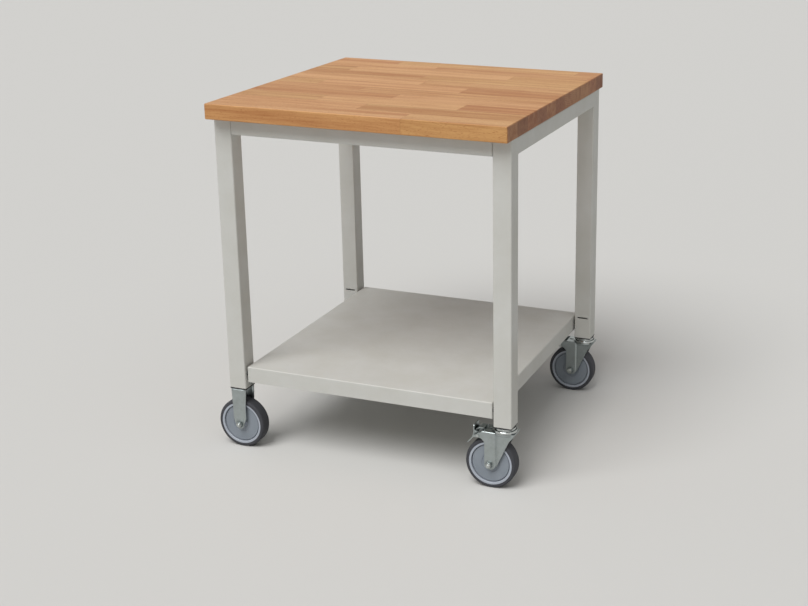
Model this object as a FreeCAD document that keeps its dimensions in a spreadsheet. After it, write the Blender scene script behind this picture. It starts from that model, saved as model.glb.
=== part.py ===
import FreeCAD, Part
import os
import re
import Sketcher
from FreeCAD import Placement, Rotation, Vector

# Assembly table: a beech worktop on a welded and bolted steel frame, a folded shelf and four casters.
#
# Frame of the part: +Z up, the floor at z = 0, X to the right and Y to the back. The origin is the
# middle of the whole table's footprint, so the worktop's centre stands a little to the right of it:
# the wheels of the two rigid casters reach out past the worktop's left edge.
#
# The right-hand casters swivel and have a brake pedal. The left-hand ones are rigid.

DIMENSIONS = [
    # worktop and frame
    ("bench_height", 880, "floor to the top of the worktop"),
    ("top_width", 750, "worktop, left to right"),
    ("top_depth", 725, "worktop, front to back"),
    ("top_thick", 37, "worktop thickness"),
    ("top_arris", 1.5, "small chamfer round the worktop"),
    ("side_overhang", 2.5, "worktop past the legs, left and right"),
    ("front_overhang", 33, "worktop past the front legs"),
    ("rear_overhang", 22, "worktop past the rear legs"),
    ("leg_side", 45, "square leg tube"),
    ("tube_wall", 2, "wall of the legs and rails"),
    ("tube_corner", 3, "outer corner radius of the tubes"),
    ("rail_height", 40, "height of all top rails"),
    ("rail_depth", 30, "front and rear rails, front to back"),
    ("rail_gap", 1, "seam between a bolted rail and a leg"),
    ("stub_length", 45, "plug-in stub in each end of a bolted rail"),
    ("stub_wall", 3, "wall of the stub"),
    ("stub_play", 0.4, "stub is smaller than the rail's inside by this"),
    ("bracket_length", 50, "angle bracket under the worktop"),
    ("bracket_flange", 25, "each flange of the angle bracket"),
    ("bracket_thick", 2.5, "sheet of the angle bracket"),
    ("screw_pitch", 30, "between the two screws of a bracket"),
    # shelf
    ("shelf_rise", 60.5, "shelf's upper face above the top of the casters"),
    ("shelf_flange", 40, "height of the shelf's folded edge"),
    ("shelf_sheet", 1.5, "sheet of the shelf"),
    ("shelf_gap", 4, "between the shelf and a leg's inner face"),
    ("shelf_recess", 5, "shelf edge behind the legs' outer face"),
    ("shelf_bend", 3, "outer bend radius of the shelf"),
    ("shelf_bolt_pitch", 18, "between the two shelf bolts at a leg"),
    ("spacer_radius", 7, "ring between the shelf and a leg"),
    ("slot_width", 28, "slot in each leg, beside the shelf"),
    ("slot_high", 4, "height of that slot"),
    # inserts in the legs
    ("insert_lip", 3, "black rim between leg and caster"),
    ("insert_depth", 28, "insert inside the leg"),
    ("insert_play", 0.4, "insert is smaller than the tube's inside by this"),
    ("insert_screw_level", 9, "insert screw above the leg's end"),
    ("insert_screw_length", 12, "insert screw under its head"),
    # screws, bolts and their holes
    ("small_thread", 3, "radius of the M6 screws of shelf, rails and inserts"),
    ("small_flats", 10, "across the flats of the M6 heads"),
    ("small_head", 4, "height of the M6 heads"),
    ("button_radius", 5, "button head of a rail screw"),
    ("button_height", 3, "height of that head"),
    ("socket_flats", 4, "hexagon socket in rail and wood screws"),
    ("socket_depth", 2, "depth of that socket"),
    ("rivet_radius", 4.5, "rivet nut in the leg"),
    ("rivet_length", 12, "rivet nut inside the leg"),
    ("rivet_rim", 6.5, "radius of the rivet nut's flange"),
    ("rivet_flange", 1, "thickness of that flange"),
    ("rail_screw_pitch", 20, "between the two screws at a rail's end"),
    ("wood_thread", 2.5, "radius of the wood screws"),
    ("wood_screw_length", 24, "wood screw under its head"),
    ("wood_head_radius", 5, "head of a wood screw"),
    ("wood_head", 3, "height of that head"),
    ("drill_extra", 1, "a blind hole is deeper than its screw by this"),
    ("large_thread", 6, "radius of the M12 caster bolts"),
    ("large_flats", 19, "across the flats of the M12 bolts and nuts"),
    ("large_nut", 10, "height of the M12 nuts"),
    ("large_head", 7.5, "height of the M12 heads"),
    ("axle_thread", 4, "radius of the M8 axle bolts"),
    ("axle_flats", 13, "across the flats of the M8 bolts and nuts"),
    ("axle_nut", 6.5, "height of the M8 nuts"),
    ("axle_head", 5.3, "height of the M8 heads"),
    ("bolt_chamfer", 0.5, "chamfer at a bolt's tip"),
    ("thread_end", 3, "a bolt or screw reaches past its thread by this"),
    ("hole_play", 0.05, "a close hole is larger in radius than its screw by this"),
    ("pass_play", 0.3, "a loose hole is larger in radius than its screw by this"),
    # casters
    ("caster_height", 157.5, "floor to the top of a caster"),
    ("fork_width", 46, "outside of a fork"),
    ("fork_sheet", 2.5, "sheet of the forks"),
    ("fork_plate", 3, "top plate of the forks"),
    # rigid forks
    ("rigid_boss", 12, "round foot of a rigid fork's cheek"),
    ("rigid_cheek_half", 17.5, "half the width of a rigid fork's cheek"),
    ("rigid_top_half", 20, "half its width at the top"),
    ("rigid_taper", 16, "the foot's taper ends this far above the axle"),
    ("rigid_flare", 42, "the cheek widens from this far above the axle"),
    ("rigid_shoulder", 8, "and is full width this far under the top"),
    ("rigid_bend", 5, "outer bend radius at its top"),
    ("flat_margin", 0.5, "flat middle of its cheek past the wheel's hub"),
    ("flank_depth", 2.4, "its sloping flanks go in by this"),
    # swivel forks
    ("trail", 33, "wheel axle behind the swivel axis"),
    ("cheek_back", 12, "swivel fork's cheek behind the axle"),
    ("cheek_front", 17, "and ahead of it"),
    ("swivel_bend", 2.5, "outer bend radius of its top"),
    ("crease_width", 3, "sloping step from the cheek to the web"),
    ("web_step", 3.2, "depth of that step"),
    ("web_foot", 4, "lower end of the web under the axle"),
    ("web_waist", 21, "kink of the web's front edge under the top plate"),
    ("arm_reach", 40.5, "end of the arms behind the axle"),
    ("arm_knee", 17, "the arms slope down from this far behind the axle"),
    ("arm_clear", 2.5, "the arms' underside above the wheel"),
    ("arm_tip", 3.5, "height of an arm's end"),
    ("arch", 9, "slope and curve from the cheek up to the arm"),
    ("plate_reach", 13, "end of the top plate behind the axle"),
    ("plate_hole_length", 11, "long hole in the top plate"),
    ("plate_hole_width", 6, "width of that hole"),
    # swivel head
    ("head_radius", 28, "swivel head"),
    ("head_gap", 12.5, "top plate of the swivel fork under the caster's top"),
    ("race_thick", 3.5, "lower race under its ball track"),
    ("race_rim", 3, "height of the lower race's outer rim"),
    ("race_rim_thick", 1.8, "thickness of that rim"),
    ("race_round", 0.8, "chamfer of the lower race's outside"),
    ("race_gap", 1.8, "between the faces of the two races"),
    ("dust_gap", 1.2, "between the upper race and the rim round it"),
    ("ball_pitch", 19, "radius of the ring of balls"),
    ("ball_radius", 2.5, "balls of the swivel head"),
    ("ball_play", 0.3, "between a ball and the upper track"),
    ("ball_seat", 0.02, "between a ball and the lower track"),
    ("kingpin_radius", 10, "neck of the fixed race"),
    ("kingpin_foot", 15, "flange at the neck's lower end"),
    ("foot_thick", 3.5, "thickness of that flange"),
    ("foot_gap", 2.5, "between that flange and the fork's top plate"),
    ("neck_play", 3, "round the neck, in fork and lower race"),
    # brake pedal
    ("pedal_width", 33, "brake pedal, across"),
    ("pedal_gap", 2, "between the pedal and the notch in the fork"),
    ("pedal_sheet", 2.5, "sheet of the brake pedal"),
    ("tab_rise", 10, "top of the pedal's tab above the fork's top plate"),
    ("tab_drop", 6, "foot of the tab under the fork's top plate"),
    ("tab_round", 4, "rounded corners of the tab"),
    ("lip_drop", 15, "height of each of the lip's two stages"),
    ("lip_lean", 3, "first stage of the lip, outward"),
    ("lip_reach", 13, "second stage of the lip, outward"),
    ("ear_radius", 5.5, "pedal's ears round the pin"),
    ("ear_rise", 4, "the ears join the tab up to this far above its foot"),
    ("tongue_width", 24, "pedal's tongue, across"),
    ("tongue_slope", 12.5, "sloping part of the tongue"),
    ("tongue_flat", 11, "flat part of the tongue"),
    ("tongue_rise", 4.5, "top of the flat part above the fork's top plate"),
    ("pin_back", 29, "pedal pin behind the axle"),
    ("pin_drop", 12.5, "pedal pin under the fork's top plate"),
    ("pin_radius", 2, "pivot pin of the brake pedal"),
    ("pin_head_radius", 3.6, "head of that pin"),
    ("pin_head", 1.2, "height of its head"),
    # wheels
    ("wheel_drop", 32.5, "top of a wheel under the top of its caster"),
    ("tyre_width", 32, "tyre"),
    ("tyre_shoulder", 5, "rounding of the tyre's shoulders"),
    ("tyre_thick", 8.7, "tyre, from its tread to the wheel centre"),
    ("flange_thick", 5.4, "outer ring of the wheel centre, in radius"),
    ("flange_inset", 0.3, "that ring inside the tyre's face"),
    ("flange_round", 0.8, "chamfer of its inner edge"),
    ("groove_width", 2.4, "groove between ring and thread guard, in radius"),
    ("groove_depth", 8, "depth of that groove under the ring"),
    ("wheel_web", 10, "disc of the wheel centre"),
    ("guard_ledge", 4, "ledge that carries the thread guard"),
    ("guard_inset", 3, "outer face of a thread guard inside the tyre's"),
    ("guard_thick", 2, "thread guard"),
    ("guard_round", 0.5, "chamfer round a thread guard"),
    ("guard_play", 0.5, "between a thread guard and the hub"),
    ("dish_radius", 22, "shallow middle of a thread guard"),
    ("dish_depth", 1, "depth of that middle"),
    ("hub_radius", 13, "hub of the wheel centre"),
    ("hub_play", 0.3, "between the hub and a fork cheek"),
    ("bush_radius", 9, "outside of the hub bush"),
    ("sleeve_radius", 6, "axle sleeve"),
    ("running_play", 0.05, "radial play of turning pieces"),
]

doc = FreeCAD.newDocument("assembly_table")
sizes = doc.addObject("Spreadsheet::Sheet", "sizes")
for row, (alias, value, note) in enumerate(DIMENSIONS, start=1):
    sizes.set(f"A{row}", note)
    sizes.set(f"B{row}", str(value))
    sizes.setAlias(f"B{row}", alias)
doc.recompute()
ALIASES = {alias for alias, value, note in DIMENSIONS}

nodes = []                      # every object that is written to a file of its own


# ---------------------------------------------------------------- helpers

def cell(formula):
    """A formula over the sheet's aliases, written the way the expression engine reads it."""
    return re.sub(r"[a-z]\w*", lambda word: f"sizes.{word[0]}" if word[0] in ALIASES else word[0], formula)


def number(formula):
    result = sizes.evalExpression(cell(formula))
    return float(getattr(result, "Value", result))


def bind(thing, **formulas):
    """Bind properties such as Length to formulas over the sheet."""
    for name, formula in formulas.items():
        thing.setExpression(name, cell(formula))


def place(thing, at, turn=None):
    """Put an object at a point given as three formulas."""
    if turn is not None:
        thing.Placement = Placement(Vector(), turn)
    for axis, formula in zip("xyz", at):
        thing.setExpression(f"Placement.Base.{axis}", cell(formula))


def node(thing, label):
    thing.Label = label
    nodes.append(thing)
    return thing


def new_body(label):
    body = doc.addObject("PartDesign::Body", label)
    body.Label = label
    return body


def sketch_on(body, name, role):
    sketch = body.newObject("Sketcher::SketchObject", name)
    plane = next(item for item in body.Origin.OriginFeatures if item.Role == role)
    sketch.AttachmentSupport = (plane, "")
    sketch.MapMode = "FlatFace"
    return sketch


def fix_point(sketch, geometry, point, formulas):
    for kind, formula in zip(("DistanceX", "DistanceY"), formulas):
        index = sketch.addConstraint(Sketcher.Constraint(kind, -1, 1, geometry, point, number(formula)))
        sketch.setExpression(f"Constraints[{index}]", cell(formula))


def add_loop(sketch, points):
    """A closed loop of straight lines through points given as pairs of formulas."""
    corners = [Vector(number(across), number(up), 0) for across, up in points]
    first = sketch.GeometryCount
    for here, after in zip(corners, corners[1:] + corners[:1]):
        sketch.addGeometry(Part.LineSegment(here, after), False)
    last = sketch.GeometryCount
    for line in range(first, last):
        following = line + 1 if line + 1 < last else first
        sketch.addConstraint(Sketcher.Constraint("Coincident", line, 2, following, 1))
        fix_point(sketch, line, 1, points[line - first])


def add_circle(sketch, centre, radius):
    middle = Vector(number(centre[0]), number(centre[1]), 0)
    line = sketch.addGeometry(Part.Circle(middle, Vector(0, 0, 1), number(radius)), False)
    fix_point(sketch, line, 3, centre)
    index = sketch.addConstraint(Sketcher.Constraint("Radius", line, number(radius)))
    sketch.setExpression(f"Constraints[{index}]", cell(radius))


def rectangle(half_across, half_up, middle=("0", "0")):
    """Corner formulas of a rectangle about a middle point."""
    across, up = middle
    return [(f"{across} {side} ({half_across})", f"{up} {level} ({half_up})")
            for side, level in (("-", "-"), ("+", "-"), ("+", "+"), ("-", "+"))]


def hexagon(across_flats):
    corner = f"({across_flats}) / sqrt(3)"
    return [(f"{corner} * cos({60 * step} deg)", f"{corner} * sin({60 * step} deg)") for step in range(6)]


def pad(body, name, role, loops=(), circles=(), length="1", start=None, middle=False, back=False):
    """Add an extruded sketch. start moves the sketch along its plane's normal."""
    sketch = sketch_on(body, f"{name}_sketch", role)
    for loop in loops:
        add_loop(sketch, loop)
    for centre, radius in circles:
        add_circle(sketch, centre, radius)
    if start is not None:
        bind(sketch, **{"AttachmentOffset.Base.z": start})
    feature = body.newObject("PartDesign::Pad", name)
    feature.Profile = sketch
    feature.Midplane = middle
    feature.Reversed = back
    bind(feature, Length=length)
    doc.recompute()
    return feature


def pocket(body, name, role, loops=(), circles=(), length=None, start=None, middle=False, back=False):
    """Cut an extruded sketch away: through everything if no length is given. It must remove material."""
    before = body.Shape.Volume
    sketch = sketch_on(body, f"{name}_sketch", role)
    for loop in loops:
        add_loop(sketch, loop)
    for centre, radius in circles:
        add_circle(sketch, centre, radius)
    if start is not None:
        bind(sketch, **{"AttachmentOffset.Base.z": start})
    feature = body.newObject("PartDesign::Pocket", name)
    feature.Profile = sketch
    feature.Midplane = middle
    feature.Reversed = back
    if length is None:
        feature.Type = "ThroughAll"
    else:
        bind(feature, Length=length)
    doc.recompute()
    if not body.Shape.Volume < before:
        raise RuntimeError(f"{body.Label}: {name} cuts nothing")
    return feature


def turn(body, name, loop, axis="V_Axis", role="XZ_Plane"):
    """Revolve a closed profile about one axis of its sketch."""
    sketch = sketch_on(body, f"{name}_sketch", role)
    add_loop(sketch, loop)
    feature = body.newObject("PartDesign::Revolution", name)
    feature.Profile = sketch
    feature.ReferenceAxis = (sketch, [axis])
    feature.Angle = 360
    doc.recompute()
    return feature


def mirrored(points):
    """A profile in (along the axle, radius) closed by its own mirror image."""
    return points + [(f"-({along})", radius) for along, radius in reversed(points)]


def groove_ring(body, name, pitch, level, radius):
    """Cut a ball track, round in section, about the vertical axis."""
    before = body.Shape.Volume
    sketch = sketch_on(body, f"{name}_sketch", "XZ_Plane")
    add_circle(sketch, (pitch, level), radius)
    feature = body.newObject("PartDesign::Groove", name)
    feature.Profile = sketch
    feature.ReferenceAxis = (sketch, ["V_Axis"])
    feature.Angle = 360
    doc.recompute()
    if not body.Shape.Volume < before:
        raise RuntimeError(f"{body.Label}: {name} cuts nothing")


def dress(body, name, kind, size, wanted):
    """Fillet or chamfer the edges for which wanted(edge) is true."""
    base = body.Tip
    edges = [f"Edge{i}" for i, edge in enumerate(base.Shape.Edges, start=1) if wanted(edge)]
    if not edges:
        raise RuntimeError(f"{body.Label}: no edge for {name}")
    feature = body.newObject(f"PartDesign::{kind}", name)
    feature.Base = (base, edges)
    bind(feature, **{"Radius" if kind == "Fillet" else "Size": size})
    doc.recompute()
    return feature


def runs_along(edge, axis):
    if edge.Curve.TypeId != "Part::GeomLine":
        return False
    return abs(abs(edge.tangentAt(edge.FirstParameter).dot(axis)) - 1) < 1e-6


ALONG_X, ALONG_Y, ALONG_Z = Vector(1, 0, 0), Vector(0, 1, 0), Vector(0, 0, 1)


def group(label, master, places):
    """Copies of one master piece, as separate solids of one sub-part."""
    links = []
    for count, (at, rotation) in enumerate(places, start=1):
        link = doc.addObject("App::Link", f"{label}_{count}")
        link.LinkedObject = master
        place(link, at, rotation)
        links.append(link)
    compound = doc.addObject("Part::Compound", label)
    compound.Links = links
    return node(compound, label)


def hex_bolt(label, radius, length, across_flats, head):
    """A hexagon bolt: its head stands on z = 0, its shank hangs below."""
    body = new_body(label)
    pad(body, "head", "XY_Plane", loops=[hexagon(across_flats)], length=head)
    pad(body, "shank", "XY_Plane", circles=[(("0", "0"), radius)], length=length, back=True)
    dress(body, "tip", "Chamfer", "bolt_chamfer",
          lambda edge: edge.Curve.TypeId == "Part::GeomCircle" and edge.CenterOfMass.z < -number(length) / 2)
    return body


def hex_nut(label, radius, across_flats, height):
    body = new_body(label)
    pad(body, "nut", "XY_Plane", loops=[hexagon(across_flats)], circles=[(("0", "0"), radius)], length=height)
    return body


# ---------------------------------------------------------------- places

FRAME_WIDTH = "(top_width - 2 * side_overhang)"              # outside of the legs
FRAME_DEPTH = "(top_depth - front_overhang - rear_overhang)"
HALF_X = f"({FRAME_WIDTH} - leg_side) / 2"
WHEEL_RADIUS = "((caster_height - wheel_drop) / 2)"
RIGHT_REACH = f"max(top_width / 2; {HALF_X} + head_radius; {HALF_X} + {WHEEL_RADIUS} - trail)"
MID_X = f"(({HALF_X} + {WHEEL_RADIUS} - {RIGHT_REACH}) / 2)"
FRONT_FACE = "(front_overhang - top_depth / 2)"
REAR_FACE = "(top_depth / 2 - rear_overhang)"
LEG_X = {"left": f"{MID_X} - {HALF_X}", "right": f"{MID_X} + {HALF_X}"}
LEG_Y = {"front": f"{FRONT_FACE} + leg_side / 2", "rear": f"{REAR_FACE} - leg_side / 2"}
MID_Y = f"({FRONT_FACE} + {FRAME_DEPTH} / 2)"
INWARD_X = {"left": 1, "right": -1}       # from a leg towards the table's middle
INWARD_Y = {"front": 1, "rear": -1}
TOP_UNDERSIDE = "(bench_height - top_thick)"
LEG_END = "(caster_height + insert_lip)"
SHELF_TOP = "(caster_height + shelf_rise)"
CORNERS = [(end, side) for end in ("front", "rear") for side in ("left", "right")]


def corner_point(end, side, level="0"):
    return (LEG_X[side], LEG_Y[end], level)


def upright(angle=0):
    return Rotation(ALONG_Z, angle)


# ---------------------------------------------------------------- frame

def make_tube(label, role, half_across, half_up, length):
    """A rounded rectangular tube, centred on the body's origin."""
    tube = new_body(label)
    pad(tube, "tube", role, loops=[rectangle(half_across, half_up)], length=length, middle=True)
    along = {"XY_Plane": ALONG_Z, "XZ_Plane": ALONG_Y, "YZ_Plane": ALONG_X}[role]
    dress(tube, "corners", "Fillet", "tube_corner", lambda edge: runs_along(edge, along))
    inside = rectangle(f"{half_across} - tube_wall", f"{half_up} - tube_wall")
    pocket(tube, "hollow", role, loops=[inside], middle=True)
    return tube


def make_leg(end, side):
    """Its shelf bolts and insert screw come in from the table's inner side."""
    length = f"({TOP_UNDERSIDE} - {LEG_END})"
    leg = make_tube(f"leg_{end}_{side}", "XY_Plane", "leg_side / 2", "leg_side / 2", length)
    foot = f"({LEG_END} + {length} / 2)"
    slot = rectangle("slot_width / 2", "slot_high / 2", ("0", f"{SHELF_TOP} - {foot}"))
    pocket(leg, "slot", "XZ_Plane", loops=[slot], back=INWARD_Y[end] < 0)
    holes = [((f"{sign} shelf_bolt_pitch / 2", f"{SHELF_BOLT_LEVEL} - {foot}"), "rivet_radius + hole_play")
             for sign in "-+"]
    holes.append((("0", f"insert_screw_level - {length} / 2"), "small_thread + hole_play"))
    pocket(leg, "holes", "YZ_Plane", circles=holes, back=INWARD_X[side] > 0)
    place(leg, corner_point(end, side, foot))
    return node(leg, leg.Label)


SHELF_BOLT_LEVEL = f"({SHELF_TOP} - shelf_flange / 2)"
RAIL_LEVEL = f"({TOP_UNDERSIDE} - rail_height / 2)"
RAIL_Y = {"front": f"({FRONT_FACE} + rail_depth / 2)", "rear": f"({REAR_FACE} - rail_depth / 2)"}
HEAD_TO_Y = {"front": Rotation(ALONG_X, -90), "rear": Rotation(ALONG_X, 90)}     # +Z turned inward
HEAD_TO_X = {"left": Rotation(ALONG_Y, 90), "right": Rotation(ALONG_Y, -90)}     # +Z turned inward
UPSIDE_DOWN = Rotation(ALONG_X, 180)

for end, side in CORNERS:
    make_leg(end, side)

for side in ("left", "right"):
    side_rail = make_tube(f"side_rail_{side}", "XZ_Plane", "leg_side / 2", "rail_height / 2",
                          f"{FRAME_DEPTH} - 2 * leg_side")
    place(side_rail, (LEG_X[side], MID_Y, RAIL_LEVEL))
    node(side_rail, side_rail.Label)

STUB_MIDDLE = f"({FRAME_WIDTH} / 2 - leg_side - stub_length / 2)"
SCREW_SPOTS = [f"{side} {STUB_MIDDLE} {sign} rail_screw_pitch / 2" for side in "-+" for sign in "-+"]
for end in ("front", "rear"):
    rail = make_tube(f"{end}_rail", "YZ_Plane", "rail_depth / 2", "rail_height / 2",
                     f"{FRAME_WIDTH} - 2 * leg_side - 2 * rail_gap")
    holes = [((spot, "0"), "small_thread + pass_play") for spot in SCREW_SPOTS]
    pocket(rail, "screw_holes", "XZ_Plane", circles=holes, back=INWARD_Y[end] < 0)
    place(rail, (MID_X, RAIL_Y[end], RAIL_LEVEL))
    node(rail, rail.Label)

stub = new_body("rail_stub")
stub_half = ("rail_depth / 2 - tube_wall - stub_play / 2", "rail_height / 2 - tube_wall - stub_play / 2")
pad(stub, "tube", "YZ_Plane", loops=[rectangle(*stub_half)], length="stub_length", middle=True)
pocket(stub, "hollow", "YZ_Plane", loops=[rectangle(*[f"{half} - stub_wall" for half in stub_half])],
       middle=True)
pocket(stub, "threads", "XZ_Plane", middle=True,
       circles=[((f"{sign} rail_screw_pitch / 2", "0"), "small_thread + hole_play") for sign in "-+"])
group("rail_stubs", stub, [((f"{MID_X} {sign} {STUB_MIDDLE}", RAIL_Y[end], RAIL_LEVEL), None)
                           for end in ("front", "rear") for sign in "-+"])

rail_screw = new_body("rail_screw")
pad(rail_screw, "head", "XY_Plane", circles=[(("0", "0"), "button_radius")], length="button_height")
dress(rail_screw, "button", "Chamfer", "button_height / 2",
      lambda edge: edge.CenterOfMass.z > number("button_height / 2") and edge.isClosed())
pad(rail_screw, "shank", "XY_Plane", circles=[(("0", "0"), "small_thread")],
    length="tube_wall + stub_wall + thread_end", back=True)
pocket(rail_screw, "socket", "XY_Plane", loops=[hexagon("socket_flats")], length="socket_depth",
       start="button_height")
group("rail_screws", rail_screw,
      [((f"{MID_X} {spot}", f"{RAIL_Y[end]} + {INWARD_Y[end]} * rail_depth / 2", RAIL_LEVEL), HEAD_TO_Y[end])
       for end in ("front", "rear") for spot in SCREW_SPOTS])

# ---------------------------------------------------------------- worktop and its brackets

# Each bracket: where its upright flange meets a rail, and the way it faces as a turn about Z.
BRACKET_Y = [f"{MID_Y} {sign} {FRAME_DEPTH} / 4" for sign in "-+"]
BRACKETS = [((f"{LEG_X['left']} + leg_side / 2", spot), -90) for spot in BRACKET_Y]
BRACKETS += [((f"{LEG_X['right']} - leg_side / 2", spot), 90) for spot in BRACKET_Y]
BRACKETS += [((MID_X, f"{FRONT_FACE} + rail_depth"), 0), ((MID_X, f"{REAR_FACE} - rail_depth"), 180)]

bracket = new_body("worktop_bracket")
pad(bracket, "angle", "YZ_Plane", length="bracket_length", middle=True, loops=[[
    ("0", "0"), ("bracket_flange", "0"), ("bracket_flange", "-bracket_thick"),
    ("bracket_thick", "-bracket_thick"), ("bracket_thick", "-bracket_flange"), ("0", "-bracket_flange")]])
SCREW_OUT = "(bracket_flange + bracket_thick) / 2"
pocket(bracket, "screw_holes", "XY_Plane",
       circles=[((f"{sign} screw_pitch / 2", SCREW_OUT), "wood_thread + pass_play") for sign in "-+"])
group("worktop_brackets", bracket,
      [((x, y, TOP_UNDERSIDE), upright(angle)) for (x, y), angle in BRACKETS])

wood_screws = []
for (x, y), angle in BRACKETS:
    cosine, sine = {0: (1, 0), 180: (-1, 0), 90: (0, 1), -90: (0, -1)}[angle]
    for sign in (-1, 1):
        wood_screws.append((f"{x} + {sign * cosine} * screw_pitch / 2 - {sine} * {SCREW_OUT}",
                            f"{y} + {sign * sine} * screw_pitch / 2 + {cosine} * {SCREW_OUT}"))

wood_screw = new_body("wood_screw")
pad(wood_screw, "head", "XY_Plane", circles=[(("0", "0"), "wood_head_radius")], length="wood_head")
dress(wood_screw, "pan", "Chamfer", "wood_head / 2",
      lambda edge: edge.CenterOfMass.z > number("wood_head / 2") and edge.isClosed())
pad(wood_screw, "shank", "XY_Plane", circles=[(("0", "0"), "wood_thread")], length="wood_screw_length",
    back=True)
dress(wood_screw, "point", "Chamfer", "0.8 * wood_thread",
      lambda edge: edge.CenterOfMass.z < -number("wood_screw_length / 2") and edge.isClosed())
pocket(wood_screw, "socket", "XY_Plane", loops=[hexagon("socket_flats")], length="socket_depth",
       start="wood_head")
group("worktop_screws", wood_screw,
      [((x, y, f"{TOP_UNDERSIDE} - bracket_thick"), UPSIDE_DOWN) for x, y in wood_screws])

worktop = new_body("worktop")
pad(worktop, "panel", "XY_Plane", loops=[rectangle("top_width / 2", "top_depth / 2")], length="top_thick")
dress(worktop, "arris", "Chamfer", "top_arris", lambda edge: True)
pocket(worktop, "pilot_holes", "XY_Plane", length="wood_screw_length - bracket_thick + drill_extra",
       circles=[((f"{x} - {MID_X}", y), "wood_thread + hole_play") for x, y in wood_screws], back=True)
place(worktop, (MID_X, "0", TOP_UNDERSIDE))
node(worktop, "worktop")

# ---------------------------------------------------------------- shelf

SHELF_HALF = (f"({FRAME_WIDTH} / 2 - leg_side - shelf_gap)", f"({FRAME_DEPTH} / 2 - shelf_recess)")
shelf = new_body("shelf")
pad(shelf, "block", "XY_Plane", loops=[rectangle(*SHELF_HALF)], length="shelf_flange", back=True)
dress(shelf, "bends", "Fillet", "shelf_bend",
      lambda edge: runs_along(edge, ALONG_Z) or abs(edge.CenterOfMass.z) < 1e-6)
pocket(shelf, "tray", "XY_Plane", start="-shelf_sheet",
       loops=[rectangle(*[f"{half} - shelf_sheet" for half in SHELF_HALF])])
LEG_FROM_MIDDLE = f"({FRAME_DEPTH} / 2 - leg_side / 2)"
pocket(shelf, "bolt_holes", "YZ_Plane", middle=True, circles=[
    ((f"{end} {LEG_FROM_MIDDLE} {sign} shelf_bolt_pitch / 2", "-shelf_flange / 2"),
     "small_thread + pass_play") for end in "-+" for sign in "-+"])
place(shelf, (MID_X, MID_Y, SHELF_TOP))
node(shelf, "shelf")


def at_shelf_bolts(inward):
    """Points at the eight shelf bolts, a distance inward from the leg's inner face."""
    return [((f"{LEG_X[side]} + {INWARD_X[side]} * (leg_side / 2 + {inward})",
              f"{LEG_Y[end]} {sign} shelf_bolt_pitch / 2", SHELF_BOLT_LEVEL), HEAD_TO_X[side])
            for end, side in CORNERS for sign in "-+"]


shelf_bolt = hex_bolt("shelf_bolt", "small_thread", "shelf_sheet + shelf_gap + rivet_length",
                      "small_flats", "small_head")
group("shelf_bolts", shelf_bolt, at_shelf_bolts("shelf_gap + shelf_sheet"))

spacer = new_body("shelf_spacer")
pad(spacer, "ring", "XY_Plane", length="shelf_gap - rivet_flange",
    circles=[(("0", "0"), "spacer_radius"), (("0", "0"), "small_thread + pass_play")])
group("shelf_spacers", spacer, at_shelf_bolts("rivet_flange"))

rivet_nut = new_body("rivet_nut")
pad(rivet_nut, "flange", "XY_Plane", circles=[(("0", "0"), "rivet_rim")], length="rivet_flange")
pad(rivet_nut, "barrel", "XY_Plane", circles=[(("0", "0"), "rivet_radius")], length="rivet_length",
    back=True)
pocket(rivet_nut, "thread", "XY_Plane", circles=[(("0", "0"), "small_thread + hole_play")], middle=True)
group("leg_rivet_nuts", rivet_nut, at_shelf_bolts("0"))

# ---------------------------------------------------------------- leg inserts and caster bolts

insert = new_body("leg_insert")
plug_half = "leg_side / 2 - tube_wall - insert_play / 2"
pad(insert, "plug", "XY_Plane", loops=[rectangle(plug_half, plug_half)], length="insert_depth")
pad(insert, "lip", "XY_Plane", loops=[rectangle("leg_side / 2", "leg_side / 2")], length="insert_lip",
    back=True)
dress(insert, "corners", "Fillet", "tube_corner", lambda edge: runs_along(edge, ALONG_Z))
pocket(insert, "bolt_hole", "XY_Plane", circles=[(("0", "0"), "large_thread + pass_play")], middle=True)
pocket(insert, "nut_seat", "XY_Plane", loops=[hexagon("large_flats + 2 * hole_play")], length="large_nut",
       start="insert_depth")
pocket(insert, "screw_hole", "YZ_Plane", circles=[(("0", "insert_screw_level"), "small_thread + hole_play")],
       back=True)
FACE_INWARD = {"left": upright(0), "right": upright(180)}
group("leg_inserts", insert,
      [(corner_point(end, side, LEG_END), FACE_INWARD[side]) for end, side in CORNERS])

insert_nut = hex_nut("insert_nut", "large_thread + hole_play", "large_flats", "large_nut")
group("insert_nuts", insert_nut,
      [(corner_point(end, side, f"{LEG_END} + insert_depth - large_nut"), None) for end, side in CORNERS])

insert_screw = hex_bolt("insert_screw", "small_thread", "insert_screw_length", "small_flats",
                        "small_head")
group("insert_screws", insert_screw,
      [((f"{LEG_X[side]} + {INWARD_X[side]} * leg_side / 2", LEG_Y[end], f"{LEG_END} + insert_screw_level"),
        HEAD_TO_X[side]) for end, side in CORNERS])

# ---------------------------------------------------------------- casters: levels

# All caster pieces but the wheels are drawn about the point of the floor under the caster's bolt.
PLATE_TOP = "(caster_height - head_gap)"                  # top plate of the swivel fork
BALL_LEVEL = f"({PLATE_TOP} + race_thick + race_gap / 2)"
FOOT_TOP = f"({PLATE_TOP} - fork_plate - foot_gap)"       # flange that carries the swivel fork
FOOT_BOTTOM = f"({FOOT_TOP} - foot_thick)"
CHEEK_INSIDE = "(fork_width / 2 - fork_sheet)"
WEB_INSIDE = "(fork_width / 2 - web_step - fork_sheet)"
PIN = ("-(trail + pin_back)", f"({PLATE_TOP} - pin_drop)")    # pedal pivot, across and up
AXLE_X = {"left": "0", "right": "-trail"}

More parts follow.
